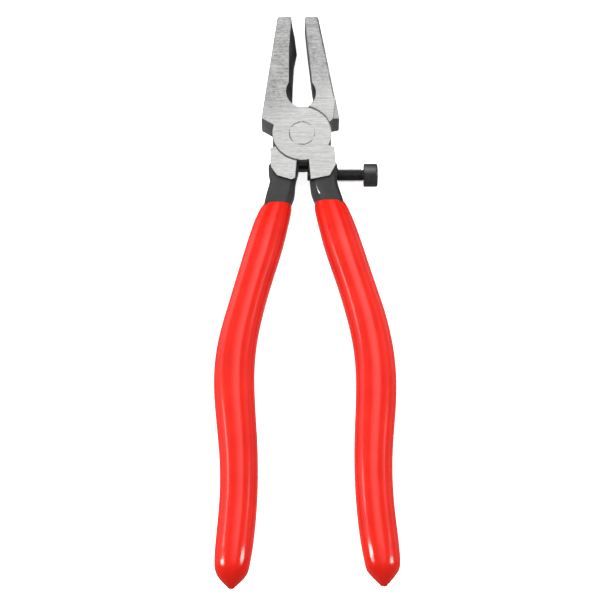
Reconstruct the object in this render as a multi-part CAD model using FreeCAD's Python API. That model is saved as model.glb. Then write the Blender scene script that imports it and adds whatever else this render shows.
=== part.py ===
import FreeCAD, Part
import math
import os

# Running pliers for stained glass, lying flat. Millimetres.
# Z is the pivot axis, and z = 0 is the ground lower face of the head. The jaws point along +Y
# and the handles along -Y. The tapped lever has the left jaw and the right handle, and carries
# the adjusting screw. The plain lever has the right jaw and the left handle.

Vec = FreeCAD.Vector
Z_AXIS = Vec(0, 0, 1)

# Head and lap joint
HEAD_THICK = 10.6
MID = HEAD_THICK / 2
DISC_R = 10.5
DISC_CLEARANCE = 0.3
LAP_PLAY = 0.08
TIP_Y = 47.3
ROOT_RECESS = 1.0
SKEW_DEG = 1.17          # the plain lever rests this much further closed than the tapped one

# Rivet
SHANK_R = 3.2
RIVET_HEAD_R = 4.5
RIVET_HEAD_DEPTH = 1.3
RUNNING_CLEARANCE = 0.05

# Adjusting screw, M5 x 20 socket head cap screw along -X
SCREW_Y = -14.1
SCREW_R = 2.5
SCREW_PITCH = 0.8
THREAD_DEPTH = 0.49
SCREW_LENGTH = 20.0
SCREW_TIP_X = 1.9
SCREW_HEAD_R = 4.15
SCREW_HEAD_LENGTH = 5.0
SCREW_HEAD_ROUND = 0.6
SOCKET_ACROSS_FLATS = 4.0
SOCKET_DEPTH = 2.5
DRILL_POINT_DEPTH = 1.0
BORE_LENGTH = 30.0       # of the cutter for the tapped hole, from the middle plane outwards
THREAD_RUN_OUT = 0.3     # plain length before the first thread and after the last, in pitches
THREAD_CREST = 0.25      # width of the flat crest, in pitches

# Left jaw: (x, y) of its outline at the ground faces, and its convex inner ridge
LEFT_TIP_OUTER = (-9.0, TIP_Y)
LEFT_TIP_INNER = (-3.8, TIP_Y)
LEFT_INNER_EDGE = [(-4.7, 35.5), (-4.75, 20.9)]
LEFT_SHOULDER_OUTER = (-14.5, 6.0)
LEFT_SHOULDER_INNER = (-9.4, 2.9)
LEFT_THROAT = (-4.6, 12.9)
LEFT_THROAT_DEG = 98.0   # where the throat meets the pivot disc, round from +X
RIDGE = [(TIP_Y, 0.1), (41.0, 1.7), (34.3, 2.9), (29.0, 1.85), (20.5, 1.45), (11.0, 1.25)]
RIDGE_ROOT = 1.0         # how far the ridge's loft is sunk into the jaw

# Right jaw: its inner face is flat, with a bevel along both ground faces
RIGHT_TIP_OUTER = (6.0, TIP_Y)
RIGHT_TIP_INNER = (0.95, TIP_Y)
RIGHT_INNER_EDGE = [(2.1, 35.0), (4.2, 15.8)]
RIGHT_THROAT = (4.4, 13.6)
RIGHT_THROAT_DEG = 77.5
RIGHT_OUTER_EDGE = [(12.0, 14.0), (12.7, 10.5)]
RIGHT_SHOULDER = [(13.4, 6.2), (11.0, 5.7), (9.2, 3.9)]
INNER_BEVEL = 0.3
OUTER_BEVEL = 0.27
FACET_START = (12.0, 14.0)   # the facet behind the right jaw: its corners in the upper face,
FACET_END = (11.2, 5.8)      # and how far it has dropped at the shoulder
FACET_DROP = 0.9

# Scallops at the back of the jaws, one in each ground face of each jaw
SCALLOP_R = 6.8
SCALLOP_FLOOR_R = 4.6
SCALLOP_DEPTH = 4.2
LEFT_SCALLOP = (1.05, 16.75)
RIGHT_SCALLOP = (-1.75, 16.1)

OUTER_CHAMFER = 0.4
TIP_CORNER = 0.35        # the corners of the tips are broken by this much, over twice the length

# Ground pads on the roots of the levers, beside and below the pivot
TAPPED_PAD = [(9.0, -4.6), (11.5, -5.5), (12.0, -12.2), (9.8, -16.5), (3.15, -18.0), (2.4, -9.5)]
PLAIN_PAD = [(-9.0, -4.9), (-9.8, -5.5), (-11.3, -6.0), (-10.95, -13.3), (-8.75, -16.5),
             (-3.8, -18.1), (-2.45, -17.5), (-1.85, -9.5)]

# Handle steel: (y, inner edge, outer edge), for the right handle
TAPPED_ROOT = [(-10.0, 2.6, 11.8), (-16.8, 2.85, 12.4), (-20.0, 3.2, 13.0), (-23.0, 4.05, 13.95),
               (-25.5, 5.0, 14.75)]
PLAIN_ROOT = [(-10.0, 2.4, 11.1), (-16.8, 2.6, 11.7), (-20.0, 2.9, 12.4), (-23.5, 3.65, 13.35),
              (-26.3, 4.75, 14.0)]
INNER_FLAT = 0.62        # share of the half width that the flats take, on the inner side
OUTER_FLAT = 0.76        # and on the outer side
SIDE_FLAT = 0.62         # share of the thickness that the flat sides take
TANG_END_Y = -153.0
TANG_THINNER = 0.3

# Grips: (y, inner edge, outer edge), for the right handle
GRIP_EDGES = [(-28.5, 4.45, 16.9), (-33.0, 5.6, 18.6), (-39.3, 7.05, 20.65), (-54.4, 11.6, 25.1),
              (-69.2, 15.65, 29.4), (-83.8, 18.0, 31.8), (-95.0, 18.25, 32.1),
              (-108.0, 17.7, 31.1), (-122.0, 17.4, 30.2), (-137.0, 18.1, 30.8),
              (-150.0, 19.7, 32.05), (-154.5, 20.6, 32.15)]
PLAIN_GRIP_SHIFT = 0.25  # the plain lever's grip lies closer to the middle,
PLAIN_GRIP_SLIMMER = 0.5  # and is slimmer above the swell of the handle
SLIMMER_ABOVE_Y = -78.0
GRIP_HALF_THICK = 5.2
COAT = 1.25              # thickness of the dipped coat
ROUNDNESS = 2.5          # exponent of the grips' superellipse section
SECTION_POINTS = 16

# Mouth of each grip: (distance below the lip, narrower on the outer side, thinner) than the
# first grip section
TAPPED_LIP_Y = -25.5
PLAIN_LIP_Y = -26.3
LIP_TAPER = [(0.0, 1.6, 0.6), (1.5, 0.6, 0.15)]

# Drip point: its half width falls as 1 - (share of the length) ** DRIP_FULLNESS
DRIP_LENGTH = 7.4
PLAIN_DRIP_LENGTH = 7.75
DRIP_FULLNESS = 1.9
DRIP_SHIFT = 0.35        # how far outwards the drip leans at its end
DRIP_SECTIONS = 10
DRIP_END = 0.965         # share of the length where the blunt end lies


def polygon(points, z):
    corners = [Vec(x, y, z) for x, y in points]
    return Part.makePolygon(corners + corners[:1])


def prism(points, low, high):
    return Part.Face(polygon(points, low)).extrude(Vec(0, 0, high - low))


def disc(radius, low, high, x=0.0, y=0.0):
    return Part.makeCylinder(radius, high - low, Vec(x, y, low), Z_AXIS)


def polar(radius, degrees):
    angle = math.radians(degrees)
    return (radius * math.cos(angle), radius * math.sin(angle))


def octagon(y, inner, outer, half_thick):
    """Section of the handle steel: a flat bar with broad chamfers, broadest on the inner side."""
    centre = (inner + outer) / 2
    half_wide = (outer - inner) / 2
    flat_z = half_thick * SIDE_FLAT
    signs = [(1, -1), (1, 1), (-1, 1), (-1, -1)]
    points = []
    for sx, sz in signs:
        flat_x = half_wide * (OUTER_FLAT if sx > 0 else INNER_FLAT)
        side = Vec(centre + sx * half_wide, y, MID + sz * flat_z)
        face = Vec(centre + sx * flat_x, y, MID + sz * half_thick)
        points += [side, face] if sx == sz else [face, side]
    return Part.makePolygon(points + points[:1])


def superellipse(y, inner, outer, half_thick):
    """Rounded section of a grip, as one closed smooth curve."""
    centre = (inner + outer) / 2
    half_wide = (outer - inner) / 2
    points = []
    for i in range(SECTION_POINTS):
        angle = 2 * math.pi * i / SECTION_POINTS
        c, s = math.cos(angle), math.sin(angle)
        x = math.copysign(abs(c) ** (2 / ROUNDNESS), c)
        z = math.copysign(abs(s) ** (2 / ROUNDNESS), s)
        points.append(Vec(centre + half_wide * x, y, MID + half_thick * z))
    curve = Part.BSplineCurve()
    curve.interpolate(Points=points, PeriodicFlag=True)
    return Part.Wire([curve.toShape()])


def x_on_outline(points, y):
    """X at y on a line of outline points listed by falling y."""
    for (x0, y0), (x1, y1) in zip(points, points[1:]):
        if y0 >= y >= y1:
            return x0 + (x1 - x0) * (y0 - y) / (y0 - y1)
    return points[-1][0]


def inner_ridge(edge_points):
    """Convex inner face of the left jaw: an arc across the jaw's depth at each station."""
    sections = []
    for y, height in RIDGE:
        x = x_on_outline(edge_points, y)
        low = Vec(x, y, 0)
        high = Vec(x, y, HEAD_THICK)
        crown = Part.Arc(low, Vec(x + height, y, MID), high).toShape()
        sunk = Vec(-RIDGE_ROOT, 0, 0)
        back = Part.makePolygon([high, high + sunk, low + sunk, low])
        sections.append(Part.Wire([crown] + back.Edges))
    return Part.makeLoft(sections, True, True)


def scallops(centre):
    """Two cones, one sunk in each ground face."""
    x, y = centre
    top = Part.makeCone(SCALLOP_R, SCALLOP_FLOOR_R, SCALLOP_DEPTH, Vec(x, y, HEAD_THICK), -Z_AXIS)
    bottom = Part.makeCone(SCALLOP_R, SCALLOP_FLOOR_R, SCALLOP_DEPTH, Vec(x, y, 0), Z_AXIS)
    return top.fuse(bottom)


def half_space(origin, normal, size=40.0):
    """A block whose inner side lies on the plane through origin, and which fills its outer side."""
    block = Part.makeBox(size, size, size, Vec(-size / 2, -size / 2, 0))
    block.Placement = FreeCAD.Placement(origin, FreeCAD.Rotation(Z_AXIS, normal))
    return block


def plane_cutter(a, b, c, outward):
    normal = (b - a).cross(c - a)
    if normal.dot(outward) < 0:
        normal = -normal
    return half_space(a, normal)


def edge_chamfers(start, end, side, size):
    """Two cutters for the long chamfers where an outer wall meets the ground faces."""
    cutters = []
    outward = Vec(end[1] - start[1], start[0] - end[0], 0)
    outward.normalize()
    outward = outward * side
    for z, up in ((HEAD_THICK, 1), (0.0, -1)):
        a = Vec(start[0], start[1], z) - outward * size
        b = Vec(end[0], end[1], z) - outward * size
        c = Vec(start[0], start[1], z - up * size)
        cutters.append(plane_cutter(a, b, c, outward + Vec(0, 0, up)))
    return cutters


def tip_corner(corner, side):
    """Cutter for one upright corner of a jaw tip; side is +1 where the outside is at +X."""
    x, y = corner
    across = x - side * TIP_CORNER
    down = y - 2 * TIP_CORNER
    beyond = x + side
    outline = [(across, y + 1), (across, y), (x, down), (beyond, down), (beyond, y + 1)]
    return prism(outline, -1, HEAD_THICK + 1)


def handle_steel(root_edges, grip_edges):
    """Bare root and the tang inside the grip, in one smooth loft."""
    half_thick = MID - ROOT_RECESS
    sections = [octagon(y, inner, outer, half_thick) for y, inner, outer in root_edges]
    for y, inner, outer in grip_edges[1:]:
        if y > TANG_END_Y:
            sections.append(octagon(y, inner + COAT, outer - COAT, half_thick - TANG_THINNER))
    return Part.makeLoft(sections, True, False)


def grip(grip_edges, lip_y, drip_length):
    """Dipped coat with a thinning lip at the top and a drip point at the end."""
    sections = [superellipse(y, inner, outer, GRIP_HALF_THICK) for y, inner, outer in grip_edges]
    first_y, inner, outer = grip_edges[0]
    lip = []
    for below, narrower, thinner in LIP_TAPER:
        lip.append(superellipse(lip_y - below, inner, outer - narrower, GRIP_HALF_THICK - thinner))
    lip.append(sections[0])
    last_y, inner, outer = grip_edges[-1]
    centre = (inner + outer) / 2
    tip = [sections[-1]]
    for i in range(1, DRIP_SECTIONS + 1):
        share = DRIP_END * i / DRIP_SECTIONS
        narrowing = 1 - share ** DRIP_FULLNESS
        x = centre + DRIP_SHIFT * share ** 2
        half = (outer - inner) / 2 * narrowing
        tip.append(superellipse(last_y - drip_length * share, x - half, x + half,
                                GRIP_HALF_THICK * narrowing))
    body = Part.makeLoft(sections, True, False)
    return body.fuse([Part.makeLoft(lip, True, True), Part.makeLoft(tip, True, True)])


def turned(shape, degrees):
    result = shape.copy()
    result.rotate(Vec(0, 0, 0), Z_AXIS, degrees)
    return result


def flipped(shape):
    return shape.mirror(Vec(0, 0, 0), Vec(1, 0, 0))


def rivet():
    """Shank with two countersunk heads, ground flush."""
    upper = Part.makeCone(SHANK_R, RIVET_HEAD_R, RIVET_HEAD_DEPTH,
                          Vec(0, 0, HEAD_THICK - RIVET_HEAD_DEPTH), Z_AXIS)
    lower = Part.makeCone(RIVET_HEAD_R, SHANK_R, RIVET_HEAD_DEPTH)
    return disc(SHANK_R, 0, HEAD_THICK).fuse([upper, lower]).removeSplitter()


def rivet_bearing():
    """Space for the rivet's shank and lower head where they turn in the plain lever."""
    shank = disc(SHANK_R + RUNNING_CLEARANCE, -1, HEAD_THICK)
    head = Part.makeCone(RIVET_HEAD_R + RUNNING_CLEARANCE, SHANK_R + RUNNING_CLEARANCE,
                         RIVET_HEAD_DEPTH)
    return shank.fuse(head)


def tapped_lever():
    edge = [LEFT_TIP_INNER] + LEFT_INNER_EDGE
    throat = [LEFT_THROAT, polar(DISC_R, LEFT_THROAT_DEG)]
    outline = [LEFT_TIP_OUTER, LEFT_SHOULDER_OUTER, LEFT_SHOULDER_INNER, (0, 0)]
    outline += throat[::-1] + edge[::-1]
    jaw = prism(outline, 0, HEAD_THICK).fuse(inner_ridge(edge))
    cutters = edge_chamfers(LEFT_TIP_OUTER, LEFT_SHOULDER_OUTER, 1, OUTER_CHAMFER)
    cutters += [scallops(LEFT_SCALLOP), tip_corner(LEFT_TIP_OUTER, -1)]
    jaw = jaw.cut(cutters)
    pad = prism([(0, 0)] + TAPPED_PAD, 0, HEAD_THICK)
    steel = handle_steel(TAPPED_ROOT, GRIP_EDGES)
    body = jaw.fuse([pad, steel, disc(DISC_R, 0, HEAD_THICK)])
    lap = disc(DISC_R + DISC_CLEARANCE, -1, MID + LAP_PLAY / 2)
    bore = Part.makeCylinder(SCREW_R + RUNNING_CLEARANCE, BORE_LENGTH, Vec(0, SCREW_Y, MID),
                             Vec(1, 0, 0))
    return body.cut([lap, bore, rivet()]).removeSplitter()


def plain_lever():
    edge = [RIGHT_TIP_INNER] + RIGHT_INNER_EDGE
    throat = [RIGHT_THROAT, polar(DISC_R + DISC_CLEARANCE, RIGHT_THROAT_DEG)]
    outline = edge + throat + [(0, 0)] + RIGHT_SHOULDER[::-1] + RIGHT_OUTER_EDGE[::-1]
    outline.append(RIGHT_TIP_OUTER)
    shoulder_x, shoulder_y = RIGHT_SHOULDER[0]
    facet = plane_cutter(Vec(*FACET_START, HEAD_THICK), Vec(*FACET_END, HEAD_THICK),
                         Vec(shoulder_x, shoulder_y, HEAD_THICK - FACET_DROP), Vec(1, 0, 1))
    cutters = edge_chamfers(RIGHT_TIP_INNER, RIGHT_INNER_EDGE[1], 1, INNER_BEVEL)
    cutters += edge_chamfers(RIGHT_TIP_OUTER, RIGHT_OUTER_EDGE[0], -1, OUTER_BEVEL)
    cutters += [facet, scallops(RIGHT_SCALLOP)]
    cutters += [tip_corner(RIGHT_TIP_OUTER, 1), tip_corner(RIGHT_TIP_INNER, -1)]
    jaw = prism(outline, 0, HEAD_THICK).cut(cutters)
    pad = prism([(0, 0)] + PLAIN_PAD, 0, HEAD_THICK)
    steel = turned(flipped(handle_steel(PLAIN_ROOT, plain_grip_edges())), SKEW_DEG)
    body = jaw.fuse([pad, steel, disc(DISC_R, 0, HEAD_THICK)])
    lap = disc(DISC_R + DISC_CLEARANCE, MID - LAP_PLAY / 2, HEAD_THICK + 1)
    return body.cut([lap, rivet_bearing()]).removeSplitter()


def plain_grip_edges():
    edges = []
    for y, inner, outer in GRIP_EDGES:
        slimmer = PLAIN_GRIP_SLIMMER if y > SLIMMER_ABOVE_Y else 0.0
        edges.append((y, inner - PLAIN_GRIP_SHIFT, outer - PLAIN_GRIP_SHIFT - slimmer))
    return edges


def adjusting_screw():
    """Thread drawn as rings of the true pitch; head with rounded rim and hexagon socket."""
    under_head = SCREW_TIP_X + SCREW_LENGTH
    end = under_head + SCREW_HEAD_LENGTH
    core = SCREW_R - THREAD_DEPTH
    half_crest = THREAD_CREST * SCREW_PITCH / 2
    run_out = THREAD_RUN_OUT * SCREW_PITCH
    points = [(SCREW_TIP_X, 0), (SCREW_TIP_X, core)]
    turns = int(SCREW_LENGTH / SCREW_PITCH) - 1
    for i in range(turns):
        start = SCREW_TIP_X + run_out + i * SCREW_PITCH
        middle = start + SCREW_PITCH / 2
        points += [(start, core), (middle - half_crest, SCREW_R), (middle + half_crest, SCREW_R)]
    points += [(under_head - run_out, core), (under_head, core)]
    points += [(under_head, SCREW_HEAD_R), (end - SCREW_HEAD_ROUND, SCREW_HEAD_R)]
    corners = [Vec(x, r, 0) for x, r in points]
    edges = Part.makePolygon(corners).Edges
    bend = SCREW_HEAD_ROUND * (1 - math.sqrt(0.5))
    rim = Part.Arc(corners[-1], Vec(end - bend, SCREW_HEAD_R - bend, 0),
                   Vec(end, SCREW_HEAD_R - SCREW_HEAD_ROUND, 0)).toShape()
    closing = Part.makePolygon([Vec(end, SCREW_HEAD_R - SCREW_HEAD_ROUND, 0), Vec(end, 0, 0),
                                corners[0]]).Edges
    profile = Part.Face(Part.Wire(edges + [rim] + closing))
    screw = profile.revolve(Vec(0, 0, 0), Vec(1, 0, 0), 360)
    across_corners = SOCKET_ACROSS_FLATS / math.sqrt(3)
    hexagon = []
    for i in range(7):
        angle = math.radians(60 * i)
        hexagon.append(Vec(end - SOCKET_DEPTH, across_corners * math.cos(angle),
                           across_corners * math.sin(angle)))
    socket = Part.Face(Part.makePolygon(hexagon)).extrude(Vec(SOCKET_DEPTH + 1, 0, 0))
    drill_point = Part.makeCone(0, SOCKET_ACROSS_FLATS / 2, DRILL_POINT_DEPTH,
                                Vec(end - SOCKET_DEPTH - DRILL_POINT_DEPTH, 0, 0), Vec(1, 0, 0))
    screw = screw.cut([socket, drill_point])
    screw.translate(Vec(0, SCREW_Y, MID))
    return screw


os.makedirs("parts", exist_ok=True)
tapped = tapped_lever()
plain = plain_lever()
tapped_coat = grip(GRIP_EDGES, TAPPED_LIP_Y, DRIP_LENGTH).cut(tapped)
plain_coat = grip(plain_grip_edges(), PLAIN_LIP_Y, PLAIN_DRIP_LENGTH)
plain_coat = turned(flipped(plain_coat), SKEW_DEG).cut(plain)
nodes = {
    "tapped_lever": tapped,
    "plain_lever": plain,
    "pivot_rivet": rivet(),
    "adjusting_screw": adjusting_screw(),
    "tapped_lever_grip": tapped_coat,
    "plain_lever_grip": plain_coat,
}
for name, shape in nodes.items():
    box = shape.BoundBox
    print(name, shape.isValid(), len(shape.Solids), round(shape.Volume, 1),
          [round(v, 2) for v in (box.XMin, box.YMin, box.ZMin, box.XMax, box.YMax, box.ZMax)])
    shape.exportStep("parts/%s.step" % name)
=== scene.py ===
import math

import bmesh
import bpy
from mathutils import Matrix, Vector
from mathutils.bvhtree import BVHTree


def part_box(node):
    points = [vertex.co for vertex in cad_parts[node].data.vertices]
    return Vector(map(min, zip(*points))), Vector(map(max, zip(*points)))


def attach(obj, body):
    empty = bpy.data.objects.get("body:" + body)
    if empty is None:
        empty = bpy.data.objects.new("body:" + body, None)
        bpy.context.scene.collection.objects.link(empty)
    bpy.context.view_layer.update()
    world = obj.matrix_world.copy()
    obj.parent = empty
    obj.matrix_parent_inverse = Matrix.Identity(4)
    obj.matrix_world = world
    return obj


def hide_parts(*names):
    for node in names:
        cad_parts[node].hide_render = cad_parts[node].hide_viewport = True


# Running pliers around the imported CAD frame. Metres; the pivot is the Z axis, z = 0 is the
# ground lower face, the jaws point along +Y and the handles along -Y.

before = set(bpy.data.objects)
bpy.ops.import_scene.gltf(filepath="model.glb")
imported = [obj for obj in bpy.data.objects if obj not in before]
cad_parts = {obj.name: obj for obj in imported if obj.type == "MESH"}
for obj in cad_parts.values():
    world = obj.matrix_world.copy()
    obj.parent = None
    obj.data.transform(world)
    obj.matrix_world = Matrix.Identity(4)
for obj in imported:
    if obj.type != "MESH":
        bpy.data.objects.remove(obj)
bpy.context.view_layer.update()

MM = 0.001
HEAD_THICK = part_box("pivot_rivet")[1][2]
MID = HEAD_THICK / 2
RIVET_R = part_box("pivot_rivet")[1][0]
LAP_R = 10.65 * MM       # the arc where the two levers meet in the ground faces
LAP_GAP = 0.15 * MM      # half the gap along it


# ---------------------------------------------------------------- node helpers

NOISE_LOW, NOISE_HIGH = 0.3, 0.7    # a noise texture's values mostly lie between these


class Nodes:
    """A node tree, with short calls to add and join its nodes."""

    def __init__(self, tree):
        self.tree = tree

    def add(self, kind, **settings):
        node = self.tree.nodes.new(kind)
        for key, value in settings.items():
            setattr(node, key, value)
        return node

    def link(self, source, target):
        self.tree.links.new(source, target)

    def fill(self, socket, value):
        if isinstance(value, bpy.types.NodeSocket):
            self.link(value, socket)
        else:
            socket.default_value = value

    def axes(self, vector):
        """The vector's X, Y and Z, as sockets by name."""
        node = self.add("ShaderNodeSeparateXYZ")
        self.link(vector, node.inputs[0])
        return node.outputs

    def math(self, operation, a, b=0.0):
        node = self.add("ShaderNodeMath", operation=operation)
        self.fill(node.inputs[0], a)
        self.fill(node.inputs[1], b)
        return node.outputs[0]

    def remap(self, value, low, high, out_low, out_high):
        node = self.add("ShaderNodeMapRange")
        self.link(value, node.inputs["Value"])
        node.inputs["From Min"].default_value = low
        node.inputs["From Max"].default_value = high
        node.inputs["To Min"].default_value = out_low
        node.inputs["To Max"].default_value = out_high
        return node.outputs[0]

    def ramp(self, value, stops):
        node = self.add("ShaderNodeValToRGB")
        elements = node.color_ramp.elements
        while len(elements) < len(stops):
            elements.new(0.5)
        for element, (position, colour) in zip(elements, stops):
            element.position = position
            element.color = colour
        self.link(value, node.inputs[0])
        return node.outputs[0]


class Surface(Nodes):
    """A new material with one Principled shader, patterned by object coordinates."""

    def __init__(self, name):
        self.material = bpy.data.materials.new(name)
        self.material.use_nodes = True
        super().__init__(self.material.node_tree)
        self.tree.nodes.clear()
        self.shader = self.add("ShaderNodeBsdfPrincipled")
        output = self.add("ShaderNodeOutputMaterial")
        self.link(self.shader.outputs[0], output.inputs["Surface"])
        self.coords = self.add("ShaderNodeTexCoord").outputs["Object"]

    def set(self, **values):
        for key, value in values.items():
            self.fill(self.shader.inputs[key.replace("_", " ")], value)

    def stretched(self, scale):
        node = self.add("ShaderNodeMapping")
        node.inputs["Scale"].default_value = scale
        self.link(self.coords, node.inputs["Vector"])
        return node.outputs[0]

    def noise(self, scale, detail=3.0, roughness=0.5, vector=None, distortion=0.0):
        node = self.add("ShaderNodeTexNoise")
        node.inputs["Scale"].default_value = scale
        node.inputs["Detail"].default_value = detail
        node.inputs["Roughness"].default_value = roughness
        node.inputs["Distortion"].default_value = distortion
        self.link(vector or self.coords, node.inputs["Vector"])
        return node.outputs["Fac"]

    def spread(self, noise, low, high):
        """The noise's usual range stretched over low to high."""
        return self.remap(noise, NOISE_LOW, NOISE_HIGH, low, high)

    def shades(self, noise, first, second):
        """Colours from the first to the second over the noise's usual range."""
        return self.ramp(noise, [(NOISE_LOW, first), (NOISE_HIGH, second)])

    def darkened(self, tone, share):
        """The value with a share of it taken off."""
        return self.math("MULTIPLY", tone, self.math("SUBTRACT", 1.0, share))

    def mix(self, factor, a, b, blend="MIX"):
        node = self.add("ShaderNodeMix", data_type="RGBA", blend_type=blend)
        self.fill(node.inputs[0], factor)
        self.fill(node.inputs[6], a)
        self.fill(node.inputs[7], b)
        return node.outputs[2]

    def bump(self, height, distance, strength=1.0, under=None):
        node = self.add("ShaderNodeBump")
        node.inputs["Distance"].default_value = distance
        node.inputs["Strength"].default_value = strength
        self.link(height, node.inputs["Height"])
        if under is not None:
            self.link(under, node.inputs["Normal"])
        return node.outputs[0]


def grey(value):
    return (value, value, value, 1.0)


# ---------------------------------------------------------------- materials

STEEL_WHITE = (1.0, 0.997, 0.99, 1.0)
STEEL_TONE = 0.48
JAW_LEAN = -0.6                     # the mottle starts further up on the right jaw
JAW_FROM, JAW_FULL = 8.0 * MM, 22.0 * MM
JAW_SMOOTHER = 0.35                 # share that the strokes lose there
RING_WANDER = 0.16 * MM
RING_WIDTH = 0.32 * MM
RING_DARK, LAP_DARK, EDGE_SHADE_DARK = 0.8, 0.9, 0.8
ARC_NONE, ARC_FULL = 4.0 * MM * MM, 16.0 * MM * MM    # in X times Y
ARC_LOW, ARC_HIGH = 5.0 * MM, 10.0 * MM
JAW_TIP, JAW_HEEL = (6.0 * MM, 47.3 * MM), (12.0 * MM, 14.0 * MM)
# Painted shade line along the right jaw's outer edge.
EDGE_SHADE_INSET = 0.50 * MM
EDGE_SHADE_HALF_WIDE = 0.22 * MM
EDGE_SHADE_FROM, EDGE_SHADE_FULL = 13.0 * MM, 15.0 * MM
# Painted highlight streak beside the tapped lever's root.
GLINT_START, GLINT_END = (4.3 * MM, -18.7 * MM), (6.0 * MM, -23.4 * MM)
GLINT_HALF_WIDE = 0.32 * MM
GLINT_BOW = 0.3 * MM
GLINT_RAGGED = 0.06 * MM
GLINT_RISE = 1.0 * MM
SHOULDER_FROM, SHOULDER_FULL = 2.0 * MM, 4.0 * MM
# Painted light: how much lighter the black is above the shoulders.
SHOULDER_PAINTED_LIGHT = 0.07
RED_DEEP, RED_LIGHT = (0.50, 0.007, 0.002, 1.0), (0.56, 0.011, 0.004, 1.0)
# Painted shade darkens the red over this span towards the drip.
DRIP_SHADE_SPAN = -161.5 * MM, -154.0 * MM    # from here to here in Y
DRIP_SHADE = 0.76
LIP_DULLS = -40.0 * MM, -28.0 * MM
GLOSS, LIP_GLOSS = 0.40, 0.12
FLOOR_GLOW = 0.85


def ground_steel():
    """Bright faces, surface ground in fine strokes across the tool, more mottled on the jaws."""
    g = Surface("ground_steel")
    strokes = g.noise(1.0, 5.0, 0.72, g.stretched((95, 2300, 2300)), 0.3)
    fine = g.noise(1.0, 3.0, 0.6, g.stretched((420, 5200, 5200)))
    grain = g.noise(1.0, 4.0, 0.7, g.stretched((850, 2100, 2100)), 0.5)
    cloud = g.noise(330, 6.0, 0.62, distortion=0.6)
    place = g.axes(g.coords)
    height = g.math("ADD", place["Y"], g.math("MULTIPLY", place["X"], JAW_LEAN))
    jaw = g.remap(height, JAW_FROM, JAW_FULL, 0.0, 1.0)
    lines = g.math("ADD", g.spread(strokes, -0.13, 0.13), g.spread(fine, -0.10, 0.10))
    lines = g.darkened(lines, g.math("MULTIPLY", jaw, JAW_SMOOTHER))
    mottle = g.math("ADD", g.spread(grain, 0.14, -0.14), g.spread(cloud, 0.20, 0.07))
    tone = g.math("SUBTRACT", g.math("ADD", STEEL_TONE, lines), g.math("MULTIPLY", mottle, jaw))
    # The rivet's ring is a dark joint; the lap's line and the jaw's edge line are painted shade.
    for mark in (rivet_ring, lap_shade, jaw_edge_shade):
        tone = g.darkened(tone, mark(g, place))
    g.set(Base_Color=g.ramp(tone, [(0.0, grey(0.0)), (1.0, STEEL_WHITE)]),
          Metallic=0.9, Roughness=g.spread(strokes, 0.36, 0.48),
          Normal=g.bump(strokes, 0.00003, 0.6, g.bump(fine, 0.00001, 0.4)))
    return g.material


def from_circle(g, place, circle, wander):
    """Distance of a point from a circle about the pivot, with the circle a little unsteady."""
    squares = g.math("ADD", g.math("MULTIPLY", place["X"], place["X"]),
                     g.math("MULTIPLY", place["Y"], place["Y"]))
    radius = g.math("ADD", g.math("SQRT", squares), g.spread(g.noise(420), -wander, wander))
    return g.math("ABSOLUTE", g.math("SUBTRACT", radius, circle))


def rivet_ring(g, place):
    """Broken dark line where the rivet's head was ground flush with the levers."""
    off_line = from_circle(g, place, RIVET_R, RING_WANDER)
    line = g.remap(off_line, RING_WIDTH * 0.2, RING_WIDTH, RING_DARK, 0.0)
    return g.math("MULTIPLY", line, g.remap(g.noise(330, 4.0, 0.6), 0.45, 0.56, 0.12, 1.0))


def lap_shade(g, place):
    """Painted shade along the lap's open arcs, where the gap between the levers lies dark, upper
    right and lower left of the pivot, thickest at their top and bottom."""
    off_line = from_circle(g, place, LAP_R, LAP_GAP)
    line = g.remap(off_line, LAP_GAP, LAP_GAP * 3.5, LAP_DARK, 0.0)
    arcs = g.math("MULTIPLY", place["X"], place["Y"])
    line = g.math("MULTIPLY", line, g.remap(arcs, ARC_NONE, ARC_FULL, 0.0, 1.0))
    height = g.math("ABSOLUTE", place["Y"])
    return g.math("MULTIPLY", line, g.remap(height, ARC_LOW, ARC_HIGH, 0.35, 1.0))


def along_and_across(g, place, start, end):
    """A point's distance along the line from start to end, and its distance to the right of it
    as seen looking from start to end."""
    run_x, run_y = end[0] - start[0], end[1] - start[1]
    length = math.hypot(run_x, run_y)
    from_x = g.math("SUBTRACT", place["X"], start[0])
    from_y = g.math("SUBTRACT", place["Y"], start[1])
    along = g.math("ADD", g.math("MULTIPLY", from_x, run_x / length),
                   g.math("MULTIPLY", from_y, run_y / length))
    across = g.math("SUBTRACT", g.math("MULTIPLY", from_x, run_y / length),
                    g.math("MULTIPLY", from_y, run_x / length))
    return along, across


def jaw_edge_shade(g, place):
    """Painted shade: a thin dark line just inside the outer edge of the right jaw's face."""
    inset = along_and_across(g, place, JAW_TIP, JAW_HEEL)[1]
    off_line = g.math("ABSOLUTE", g.math("SUBTRACT", inset, EDGE_SHADE_INSET))
    line = g.remap(off_line, EDGE_SHADE_HALF_WIDE * 0.5, EDGE_SHADE_HALF_WIDE, EDGE_SHADE_DARK, 0.0)
    line = g.math("MULTIPLY", line, g.remap(g.noise(300, 3.0), 0.35, 0.6, 0.3, 1.0))
    return g.math("MULTIPLY", line, g.remap(place["Y"], EDGE_SHADE_FROM, EDGE_SHADE_FULL, 0.0, 1.0))


def edge_steel():
    """Chamfers and rounded edges where the grinding broke through the black finish."""
    g = Surface("edge_steel")
    wear = g.noise(900, 4.0, 0.7)
    g.set(Base_Color=g.shades(wear, grey(0.18), grey(0.5)), Metallic=0.8,
          Roughness=0.42, Normal=g.bump(wear, 0.00002, 0.3))
    return g.material


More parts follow.
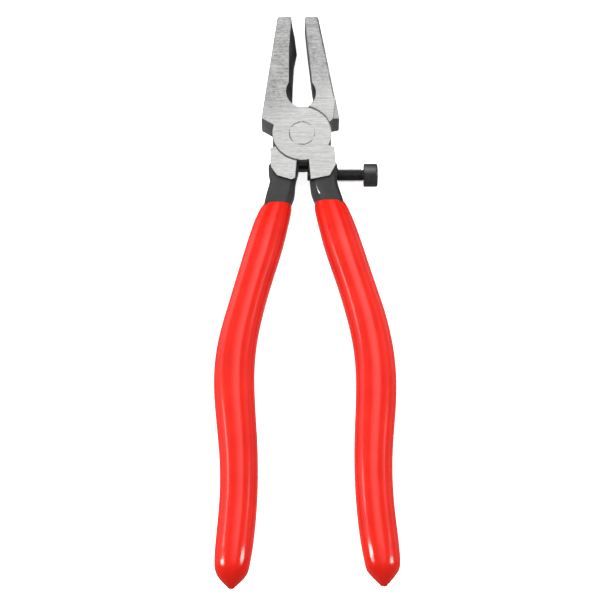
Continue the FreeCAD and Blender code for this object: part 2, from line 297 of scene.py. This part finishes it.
def glint_streak(g, place):
    """Painted highlight: a bright glint streak along the edge beside the tapped lever's root."""
    half = math.dist(GLINT_START, GLINT_END) / 2
    along, across = along_and_across(g, place, GLINT_START, GLINT_END)
    share = g.math("DIVIDE", g.math("ABSOLUTE", g.math("SUBTRACT", along, half)), half)
    bow = g.math("MULTIPLY", g.math("MULTIPLY", share, share), GLINT_BOW)
    ragged = g.math("ADD", g.math("ABSOLUTE", g.math("ADD", across, bow)),
                    g.spread(g.noise(2200, 3.0), -GLINT_RAGGED, GLINT_RAGGED))
    streak = g.remap(ragged, GLINT_HALF_WIDE * 0.5, GLINT_HALF_WIDE, 1.0, 0.0)
    ends = g.remap(share, 0.8, 1.0, 1.0, 0.0)
    upper = g.remap(place["Z"], MID, MID + GLINT_RISE, 0.0, 1.0)
    return g.math("MULTIPLY", g.math("MULTIPLY", streak, ends), upper)


def black_oxide():
    """Forged roots under a dull black finish, faintly pitted, with painted light on the jaws'
    shoulders and a painted highlight streak beside the tapped lever's root.
    """
    g = Surface("black_oxide")
    pits = g.noise(1400, 5.0, 0.65)
    patches = g.noise(120, 4.0, 0.6)
    place = g.axes(g.coords)
    # Painted highlight streak, mixed into the base colour.
    glint = glint_streak(g, place)
    # Painted light: faces from the shoulders up are lifted lighter.
    painted_light = g.remap(place["Y"], SHOULDER_FROM, SHOULDER_FULL, 0.0, SHOULDER_PAINTED_LIGHT)
    dull = g.math("ADD", g.spread(patches, 0.015, 0.030), painted_light)
    g.set(Base_Color=g.mix(glint, dull, grey(0.95)),
          Metallic=g.remap(glint, 0.0, 1.0, 0.25, 0.35),
          Roughness=g.spread(pits, 0.42, 0.60), Normal=g.bump(pits, 0.00004, 0.5))
    return g.material


def shaded_black():
    """Unground forged walls and hollows, with painted shade: the black finish made duller and less
    glossy there, with an oily, finely scaled skin.
    """
    g = Surface("shaded_black")
    scale = g.noise(900, 5.0, 0.65)
    oil = g.noise(160, 3.0, 0.5)
    g.set(Base_Color=g.shades(oil, grey(0.018), grey(0.032)), Metallic=0.1,
          Roughness=g.spread(scale, 0.38, 0.55), Specular_IOR_Level=0.32,
          Normal=g.bump(scale, 0.00006, 0.5))
    return g.material


def black_screw():
    """Black oxide on a machined screw: smoother and glossier than the forgings."""
    g = Surface("black_screw")
    turned = g.noise(1.0, 3.0, 0.6, g.stretched((6000, 260, 260)))
    oil = g.noise(400, 3.0, 0.5)
    g.set(Base_Color=g.shades(oil, grey(0.012), grey(0.026)), Metallic=0.3,
          Specular_IOR_Level=0.85, Roughness=g.spread(turned, 0.18, 0.28),
          Normal=g.bump(turned, 0.000006, 0.2))
    return g.material


def red_dip():
    """Glossy soft PVC with a faint swell, darker red at the drip as painted shade, and duller under
    the lip.
    """
    g = Surface("red_dip")
    swell = g.noise(55, 2.0, 0.4)
    specks = g.noise(2600, 2.0, 0.5)
    red = g.shades(g.noise(90, 3.0, 0.5), RED_DEEP, RED_LIGHT)
    place = g.axes(g.coords)
    # Painted shade: the red darkens towards the drip.
    painted_drip_shade = g.remap(place["Y"], *DRIP_SHADE_SPAN, DRIP_SHADE, 1.0)
    g.set(Base_Color=g.mix(1.0, red, painted_drip_shade, "MULTIPLY"), IOR=1.5,
          Roughness=g.spread(specks, 0.13, 0.18),
          Specular_IOR_Level=g.remap(place["Y"], *LIP_DULLS, GLOSS, LIP_GLOSS),
          Normal=g.bump(swell, 0.0004, 0.25, g.bump(specks, 0.000004, 0.2)))
    return g.material


def pale_floor():
    """White backdrop paper that glows a little, so that it stays blank like the photo's."""
    g = Surface("pale_floor")
    grain = g.noise(40, 4.0, 0.6)
    g.set(Base_Color=g.shades(grain, grey(0.93), grey(0.96)), Roughness=0.8,
          Emission_Color=grey(1.0), Emission_Strength=FLOOR_GLOW)
    return g.material


# ---------------------------------------------------------------- mesh helpers

def piece(name, bm, materials, body, node):
    """Turns a bmesh into an object that rides a body and stands for a CAD node."""
    mesh = bpy.data.meshes.new(name)
    bmesh.ops.recalc_face_normals(bm, faces=bm.faces)
    bm.to_mesh(mesh)
    bm.free()
    for material in materials:
        mesh.materials.append(material)
    mesh.polygons.foreach_set("use_smooth", [True] * len(mesh.polygons))
    obj = bpy.data.objects.new(name, mesh)
    bpy.context.scene.collection.objects.link(obj)
    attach(obj, body)
    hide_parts(node)
    return obj


def bridge(bm, ring_a, ring_b):
    count = len(ring_a)
    for i in range(count):
        j = (i + 1) % count
        bm.faces.new((ring_a[i], ring_a[j], ring_b[j], ring_b[i]))


def ring_of(bm, points):
    return [bm.verts.new(point) for point in points]


def bvh_of(node):
    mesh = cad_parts[node].data
    return BVHTree.FromPolygons([v.co for v in mesh.vertices],
                                [p.vertices for p in mesh.polygons])


# ---------------------------------------------------------------- levers and rivet

GROUND, EDGE, BLACK, SHADED, SHADE_LINE = range(5)    # slots of a lever's materials, in this order
WELD = 0.002 * MM
FLAT_ENOUGH = math.radians(0.6)    # faces that meet by less are joined
SHARP = math.radians(24)           # edges that turn by more are broken
EDGE_BEVEL = 0.10 * MM
SEAM = 0.15 * MM
LAP_SEAM = LAP_GAP + 0.02 * MM
GROOVE = 0.13 * MM
GROOVE_LEAST = 1.5 * MM            # shortest edge that gets a groove
HEAD_BOTTOM = -20.0 * MM
DISC_BOTTOM = -4.0 * MM            # between the pads and the disc
DISC_TOP = 4.0 * MM
JAW_BOTTOM = 11.0 * MM
PADS_BOTTOM = -19.0 * MM
PADS_HALF_WIDE = 9.0 * MM
# How level a face lies, as the upright part of its normal: above FACET it is a facet, between
# CHAMFER and FACET a chamfer, and below UPRIGHT a wall.
LEVEL, FACET, CHAMFER, UPRIGHT = 0.99, 0.80, 0.6, 0.3
GROOVE_LEVEL = 0.995
# How far a face looks sideways, as the X part of its normal, to count as an inner or outer one.
OUTER_SLOPE, RIDGE_SIDE, ROOT_SIDE = 0.05, 0.2, 0.25
FACE_REACH = 0.05 * MM             # from the ground faces' height
LAP_REACH = 0.3 * MM               # from the lap's


def steel_copy(node, body):
    """The CAD solid with its sharp edges broken, and its ground and black faces told apart."""
    bm = bmesh.new()
    bm.from_mesh(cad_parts[node].data)
    bmesh.ops.remove_doubles(bm, verts=bm.verts, dist=WELD)
    bmesh.ops.dissolve_limit(bm, angle_limit=FLAT_ENOUGH, verts=bm.verts, edges=bm.edges)
    for face in bm.faces:
        face.material_index = finish_of(face, node)
    if node == "plain_lever":
        groove_facet(bm)
    sharp = [e for e in bm.edges if len(e.link_faces) == 2
             and e.calc_face_angle(0.0) > SHARP and not on_seam(e)
             and not any(f.material_index == SHADE_LINE for f in e.link_faces)]
    made = bmesh.ops.bevel(bm, geom=sharp, offset=EDGE_BEVEL, segments=2, profile=0.5,
                           affect="EDGES", clamp_overlap=True, material=-1)
    for face in made["faces"]:
        if face.calc_center_median().y > HEAD_BOTTOM and any(
                f.material_index == GROUND for e in face.edges for f in e.link_faces):
            face.material_index = EDGE
    # The last two slots take the shaded black, which paints shade.
    materials = [STEEL, WORN, OXIDE, SHADED_BLACK, SHADED_BLACK]
    obj = piece(node + "_steel", bm, materials, body, node)
    obj.modifiers.new("shading", "WEIGHTED_NORMAL").keep_sharp = True


def groove_facet(bm):
    """Painted shade line: a narrow bevel in the shaded black where the right jaw's facet and
    chamfer meet its face.
    """
    edges = []
    for edge in bm.edges:
        if len(edge.link_faces) == 2 and edge.calc_length() > GROOVE_LEAST:
            flat, slope = sorted(edge.link_faces, key=lambda f: -abs(f.normal.z))
            outer = slope.normal.x > OUTER_SLOPE and slope.calc_center_median().y > DISC_TOP
            leans = CHAMFER < abs(slope.normal.z) < GROOVE_LEVEL
            if outer and leans and abs(flat.normal.z) > GROOVE_LEVEL:
                edges.append(edge)
    made = bmesh.ops.bevel(bm, geom=edges, offset=GROOVE, segments=1, profile=0.5,
                           affect="EDGES", clamp_overlap=True, material=-1)
    for face in made["faces"]:
        # painted shade line along the edge
        face.material_index = SHADE_LINE


def on_seam(edge):
    """Whether the edge lies on the rivet head's rim or the lap's arc, which stay sharp."""
    radii = [math.hypot(v.co.x, v.co.y) for v in edge.verts]
    return any(all(abs(r - circle) < reach for r in radii)
               for circle, reach in ((RIVET_R, SEAM), (LAP_R, LAP_SEAM)))


def finish_of(face, node):
    """The material slot of a face of the levers or rivet, by where it lies and how it faces."""
    centre = face.calc_center_median()
    level = abs(face.normal.z)
    if level > LEVEL and min(abs(centre.z), abs(centre.z - HEAD_THICK)) < FACE_REACH:
        return GROUND
    on_jaw = centre.y > JAW_BOTTOM
    # Painted shade: the jaw's inner ridge, the jaws' other unground faces, the lap, the walls
    # between the pads and the roots' inner sides take the shaded black.
    if node == "tapped_lever" and on_jaw and face.normal.x > RIDGE_SIDE:
        return SHADED
    if centre.y > DISC_TOP and FACET < level < LEVEL:
        return GROUND
    if centre.y > DISC_TOP and CHAMFER < level <= FACET:
        return GROUND if face.normal.x > 0 else EDGE
    on_lap = level > LEVEL and abs(centre.z - MID) < LAP_REACH
    between_pads = (level < UPRIGHT and PADS_BOTTOM < centre.y < DISC_BOTTOM
                    and abs(centre.x) < PADS_HALF_WIDE)
    inwards = face.normal.x if node == "plain_lever" else -face.normal.x
    if on_jaw or on_lap or between_pads or (inwards > ROOT_SIDE and centre.y < DISC_BOTTOM):
        return SHADED
    return BLACK


# ---------------------------------------------------------------- grips

RING = 64
BODY_SLICES = 110
DRIP_SLICES = 40
DRIP_LENGTH = 16.0 * MM        # stretch with the finer slices
RAYS_FROM = 10.0 * MM          # outside the grip
THIN_START = 7.4 * MM          # above the grip's end
THINNING = 0.5 * MM
THINNING_LENGTH = 8.0 * MM
PINCH = {"tapped_lever_grip": 0.11, "plain_lever_grip": 0.0}    # share of the drip's width
PINCH_Y = 3.0 * MM             # above the grip's end
PINCH_SPREAD = 1.2 * MM
SMOOTHING = 3
ROUNDNESS = 2.6                # exponent of the section's superellipse
TIP_ROUNDNESS = 2.0
TIP_BLEND = 8.0 * MM
LIP_ROUND = 0.35 * MM
LIP_TURNS = (30, 60, 90)
WALL = 0.8 * MM
TIP_CAP = 0.7 * MM
CAP_RINGS = 6


def grip_outline(node):
    """Centre and half sizes of the CAD grip along the handle, found by rays, with the drip
    thinned and pinched."""
    low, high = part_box(node)
    tree = bvh_of(node)
    lip_y, end_y = high[1] - LIP_ROUND, low[1] + TIP_CAP
    drip_y = end_y + DRIP_LENGTH
    stations = [lip_y + (drip_y - lip_y) * i / BODY_SLICES for i in range(BODY_SLICES)]
    stations += [drip_y + (end_y - drip_y) * i / DRIP_SLICES for i in range(DRIP_SLICES + 1)]
    slices = []
    for y in stations:
        left = tree.ray_cast(Vector((low[0] - RAYS_FROM, y, MID)), Vector((1, 0, 0)))[0]
        right = tree.ray_cast(Vector((high[0] + RAYS_FROM, y, MID)), Vector((-1, 0, 0)))[0]
        if left is None or right is None:
            continue
        x = (left.x + right.x) / 2
        top = tree.ray_cast(Vector((x, y, high[2] + RAYS_FROM)), Vector((0, 0, -1)))[0]
        before_drip = min(max((y - low[1] - THIN_START) / THINNING_LENGTH, 0.0), 1.0)
        thinner = THINNING * (1 - before_drip) ** 2 * (top.z - MID) / (high[2] - MID)
        pinch = 1 - PINCH[node] * math.exp(-((y - low[1] - PINCH_Y) / PINCH_SPREAD) ** 2)
        slices.append((y, x, pinch * (right.x - left.x) / 2, top.z - MID - thinner))
    return smoothed(slices)


def smoothed(slices):
    """Each slice averaged with its neighbours, fewer of them towards the two ends."""
    result = []
    for i in range(len(slices)):
        reach = min(SMOOTHING, i, len(slices) - 1 - i)
        near = slices[i - reach:i + reach + 1]
        result.append(tuple(sum(s[k] for s in near) / len(near) for k in range(4)))
    return result


def superellipse(centre_x, y, half_wide, half_thick, tip_y):
    """Section of the grip: squarish along the handle and elliptical at the drip."""
    from_tip = min(max((y - tip_y) / TIP_BLEND, 0.0), 1.0)
    exponent = TIP_ROUNDNESS + (ROUNDNESS - TIP_ROUNDNESS) * from_tip
    points = []
    for i in range(RING):
        angle = 2 * math.pi * i / RING
        c, s = math.cos(angle), math.sin(angle)
        x = math.copysign(abs(c) ** (2 / exponent), c)
        z = math.copysign(abs(s) ** (2 / exponent), s)
        points.append((centre_x + half_wide * x, y, MID + half_thick * z))
    return points


def grip_piece(node, body):
    """The dipped coat: its body, a rounded lip with a mouth around the root, and a capped drip."""
    slices = grip_outline(node)
    tip_y = slices[-1][0]
    bm = bmesh.new()
    rings = [ring_of(bm, superellipse(x, y, a, b, tip_y)) for y, x, a, b in slices]
    for first, second in zip(rings, rings[1:]):
        bridge(bm, first, second)
    y, x, a, b = slices[0]
    above = rings[0]
    for turn in LIP_TURNS:
        angle = math.radians(turn)
        inset = LIP_ROUND * (1 - math.cos(angle))
        ring = ring_of(bm, superellipse(x, y + LIP_ROUND * math.sin(angle), a - inset, b - inset,
                                        tip_y))
        bridge(bm, ring, above)
        above = ring
    mouth = ring_of(bm, superellipse(x, y + LIP_ROUND, a - WALL, b - WALL, tip_y))
    bridge(bm, mouth, above)
    bm.faces.new(mouth)
    y, x, a, b = slices[-1]
    below = rings[-1]
    for i in range(1, CAP_RINGS):
        angle = math.pi / 2 * i / CAP_RINGS
        ring = ring_of(bm, superellipse(x, y - TIP_CAP * math.sin(angle), a * math.cos(angle),
                                        b * math.cos(angle), tip_y))
        bridge(bm, below, ring)
        below = ring
    bm.faces.new(below)
    piece(node + "_dip", bm, [RED], body, node)


# ---------------------------------------------------------------- adjusting screw

TURN = 96
PITCH = 0.8 * MM
STEPS_IN_PITCH = 10
SCREW_R = 2.5 * MM
THREAD_DEPTH = 0.65 * MM
THREAD_CORE = SCREW_R - THREAD_DEPTH
ROOT_SHARE, CREST_SHARE = 1 / 4, 1 / 8    # flats of the thread's root and crest, in pitches
TIP_CHAMFER = 0.10 * MM
HEAD_LENGTH = 5.0 * MM
HEAD_R = 4.15 * MM
HEAD_ROUND = 0.6 * MM
HEAD_ROUND_STEPS = 6
UNDER_HEAD_CHAMFER = 0.15 * MM
SUPPORT = 0.1 * MM                        # plain ring just below the head's rounding
SOCKET_MOUTH_R = 2.6 * MM
SOCKET_CHAMFER = 0.25 * MM
SOCKET_SUPPORT = 0.05 * MM
SOCKET_FLAT = 2.0 * MM                    # half the size across flats
SOCKET_DEPTH = 2.5 * MM
DRILL_SHARE = 0.98                        # drill's radius, as a share of SOCKET_FLAT
DRILL_POINT = 0.9 * MM
CENTRE_R = 0.01 * MM                      # closes a ring to nearly a point
SCREW_SHARP = math.radians(32)


def thread_radius(phase):
    """Trapezoid thread form: flat crest an eighth of a pitch wide, flat root a quarter."""
    rise = abs(phase % 1.0 - 0.5) * 2
    height = (rise - ROOT_SHARE) / (1 - CREST_SHARE - ROOT_SHARE)
    return SCREW_R - THREAD_DEPTH * (1 - min(max(height, 0.0), 1.0))


def screw_piece():
    """Socket head cap screw with a helical thread, its tip at the low end of X."""
    low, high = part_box("adjusting_screw")
    y, z = (low[1] + high[1]) / 2, (low[2] + high[2]) / 2
    tip, top = low[0], high[0]
    under_head = top - HEAD_LENGTH
    bm = bmesh.new()

    def ring(x, radius):
        points = []
        for i in range(TURN):
            angle = 2 * math.pi * i / TURN
            r = radius(angle) if callable(radius) else radius
            points.append((x, y + r * math.cos(angle), z + r * math.sin(angle)))
        return ring_of(bm, points)

    def thread(x, fade):
        def radius(angle):
            full = thread_radius(x / PITCH - angle / (2 * math.pi))
            return full * fade + THREAD_CORE * (1 - fade)
        return radius

    def hexagon(angle):
        return SOCKET_FLAT / math.cos((angle + math.pi / 6) % (math.pi / 3) - math.pi / 6)

    rings = [ring(tip, CENTRE_R), ring(tip, THREAD_CORE - TIP_CHAMFER)]
    steps = int((under_head - tip) / PITCH * STEPS_IN_PITCH)
    for i in range(1, steps):
        x = tip + (under_head - tip) * i / steps
        fade = min(1.0, (x - tip) / PITCH, (under_head - x) / PITCH)
        rings.append(ring(x, thread(x, fade)))
    rings += [ring(under_head, THREAD_CORE), ring(under_head, HEAD_R - UNDER_HEAD_CHAMFER),
              ring(under_head + UNDER_HEAD_CHAMFER, HEAD_R),
              ring(top - HEAD_ROUND - SUPPORT, HEAD_R)]
    for i in range(1, HEAD_ROUND_STEPS + 1):
        angle = math.pi / 2 * i / HEAD_ROUND_STEPS
        rings.append(ring(top - HEAD_ROUND * (1 - math.sin(angle)),
                          HEAD_R - HEAD_ROUND * (1 - math.cos(angle))))
    rings += [ring(top, SOCKET_MOUTH_R), ring(top - SOCKET_CHAMFER, hexagon),
              ring(top - SOCKET_CHAMFER - SOCKET_SUPPORT, hexagon),
              ring(top - SOCKET_DEPTH, hexagon),
              ring(top - SOCKET_DEPTH, SOCKET_FLAT * DRILL_SHARE),
              ring(top - SOCKET_DEPTH - DRILL_POINT, CENTRE_R)]
    for first, second in zip(rings, rings[1:]):
        bridge(bm, first, second)
    bm.faces.new(rings[0])
    bm.faces.new(rings[-1])
    obj = piece("adjusting_screw_threaded", bm, [SCREW_BLACK], "screw",
                "adjusting_screw")
    obj.data.set_sharp_from_angle(angle=SCREW_SHARP)


# ---------------------------------------------------------------- stage

CAMERA_TILT = math.radians(21.0)
CAMERA_DISTANCE = 0.600
CAMERA_AIM = Vector((-0.0007, -0.0637, HEAD_THICK))
LENS, SENSOR = 104.97, 36.0    # in millimetres, as Blender takes them
CLIP_START = 0.01
LIGHT_TARGET = Vector((0, -0.10, 0))
FLOOR_HALF = 3.0
FLOOR_BELOW = 0.1 * MM

# The light tent: its level by the angle from straight up towards +X, in degrees, and by how far
# the direction leans towards +Y. It is a little brighter everywhere by AMBIENT.
STUDIO = [(-180, 0.1), (-105, 0.1), (-92, 0.9), (-72, 0.6), (-62, 1.3), (-50, 1.2), (-40, 0.06),
          (-16, 0.06), (-7, 0.2), (-1, 1.7), (4, 2.8), (7.5, 2.0), (10, 0.08), (24, 0.1),
          (32, 0.4), (42, 0.4), (52, 0.1), (70, 0.25), (85, 0.9), (100, 0.1), (180, 0.1)]
STUDIO_PEAK = 3.0
STUDIO_DEPTH = [(-1.0, 0.04), (-0.12, 0.06), (0.12, 0.70), (0.33, 1.0), (0.60, 2.0), (1.0, 0.9)]
DEPTH_PEAK = 2.0
AMBIENT = 0.22


def make_camera():
    data = bpy.data.cameras.new("camera")
    data.lens = LENS
    data.sensor_width = SENSOR
    data.clip_start = CLIP_START
    camera = bpy.data.objects.new("camera", data)
    away = Vector((0, -math.sin(CAMERA_TILT), math.cos(CAMERA_TILT)))
    camera.location = CAMERA_AIM + away * CAMERA_DISTANCE
    camera.rotation_euler = (CAMERA_TILT, 0, 0)
    bpy.context.scene.collection.objects.link(camera)
    bpy.context.scene.camera = camera


def make_light(name, place, size, size_y, power, shape="RECTANGLE", mirrored=True):
    """An area lamp aimed at the handles, which the gloss mirrors or doesn't."""
    data = bpy.data.lights.new(name, "AREA")
    data.shape = shape
    data.size = size
    data.size_y = size_y
    data.energy = power
    light = bpy.data.objects.new(name, data)
    light.location = place
    aim = LIGHT_TARGET - light.location
    light.rotation_euler = aim.to_track_quat("-Z", "Y").to_euler()
    light.visible_glossy = mirrored
    bpy.context.scene.collection.objects.link(light)


def level_curve(g, value, stops, peak):
    """Grey ramp over (value, level) stops, with the levels as shares of the peak."""
    first, last = stops[0][0], stops[-1][0]
    share = g.remap(value, first, last, 0.0, 1.0)
    return g.ramp(share, [((position - first) / (last - first), grey(level / peak))
                          for position, level in stops])


def studio_light():
    world = bpy.data.worlds.new("studio")
    world.use_nodes = True
    g = Nodes(world.node_tree)
    background = world.node_tree.nodes["Background"]
    towards = g.axes(g.add("ShaderNodeTexCoord").outputs["Generated"])
    angle = g.math("ARCTAN2", towards["X"], towards["Z"])
    side = [(math.radians(degrees), level) for degrees, level in STUDIO]
    peak = STUDIO_PEAK * DEPTH_PEAK
    level = g.math("MULTIPLY", level_curve(g, angle, side, STUDIO_PEAK),
                   level_curve(g, towards["Y"], STUDIO_DEPTH, DEPTH_PEAK))
    g.link(g.math("ADD", level, AMBIENT / peak), background.inputs["Color"])
    background.inputs["Strength"].default_value = peak
    bpy.context.scene.world = world


def make_floor():
    bm = bmesh.new()
    bmesh.ops.create_grid(bm, x_segments=4, y_segments=4, size=FLOOR_HALF)
    mesh = bpy.data.meshes.new("floor")
    bm.to_mesh(mesh)
    bm.free()
    mesh.materials.append(pale_floor())
    floor = bpy.data.objects.new("floor", mesh)
    floor.location.z = -FLOOR_BELOW
    floor.visible_glossy = False
    bpy.context.scene.collection.objects.link(floor)


def make_stage():
    make_floor()
    studio_light()
    make_light("key", (-0.50, 0.25, 0.80), 0.6, 0.6, 4.2, mirrored=False)
    make_light("fill", (0.60, 0.10, 0.65), 0.6, 0.6, 2.6, mirrored=False)
    make_light("spot_left", (-0.60, -0.17, 0.67), 0.15, 0.40, 5.0, "ELLIPSE")
    make_light("spot_right", (0.56, -0.17, 0.70), 0.14, 0.40, 3.2, "ELLIPSE")
    make_light("strip_left", (-0.60, 0.08, 0.67), 0.08, 0.16, 0.35)
    make_light("strip_right", (0.56, 0.08, 0.70), 0.08, 0.16, 0.12)
    bpy.context.scene.view_settings.view_transform = "Standard"


# ---------------------------------------------------------------- build

STEEL = ground_steel()
WORN = edge_steel()
OXIDE = black_oxide()
SHADED_BLACK = shaded_black()
SCREW_BLACK = black_screw()
RED = red_dip()

steel_copy("tapped_lever", "tapped_side")
steel_copy("plain_lever", "plain_side")
steel_copy("pivot_rivet", "tapped_side")
grip_piece("tapped_lever_grip", "tapped_side")
grip_piece("plain_lever_grip", "plain_side")
screw_piece()
make_stage()
make_camera()

bpy.context.view_layer.update()
